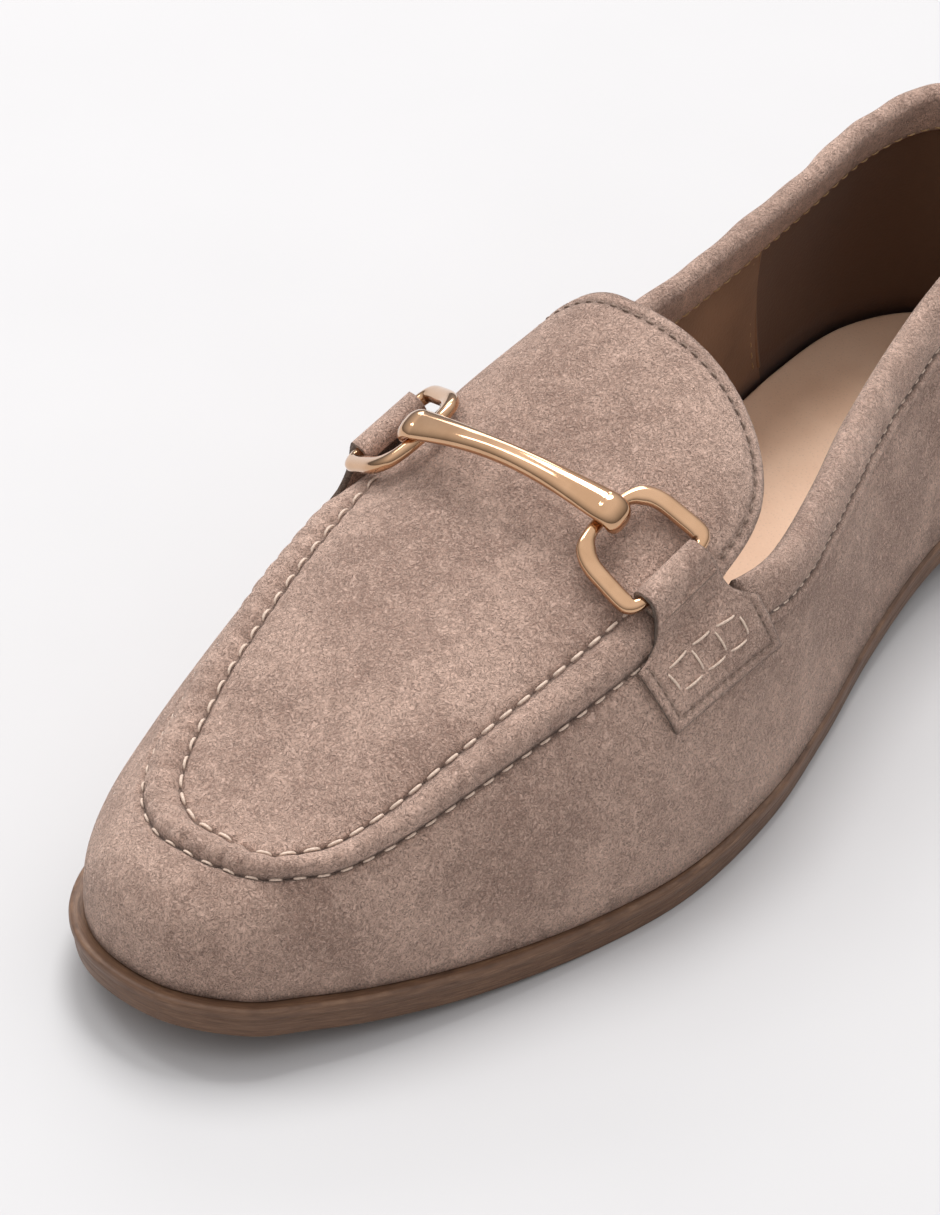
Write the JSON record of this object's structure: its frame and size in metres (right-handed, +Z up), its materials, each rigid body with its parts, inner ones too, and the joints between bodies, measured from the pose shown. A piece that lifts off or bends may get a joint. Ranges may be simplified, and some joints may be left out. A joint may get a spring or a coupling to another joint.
{
  "type": "suede loafer",
  "caption": "Slip-on suede loafer with a rolled apron seam, padded collar, raised tongue and a gold snaffle bit held by a stitched strap on each side.",
  "frame": {"origin": "centre of the shoe's outline on the floor it stands on", "axes": "+Z up, -Y towards the toe, +X towards the outer side of this left shoe"},
  "size_m": [0.0911, 0.2605, 0.0811],
  "materials": {
    "suede": "matte napped suede",
    "edge": "satin stacked edge",
    "sock": "smooth satin",
    "gold": "polished pale gold"
  },
  "bodies": {
    "root": {"outsole": "edge", "heel": "edge", "insole": "sock", "upper": "suede", "collar": "suede", "tab_outer": "suede", "tab_inner": "suede", "ring_outer": "gold", "ring_inner": "gold", "bar": "gold"}
  },
  "joints": []
}
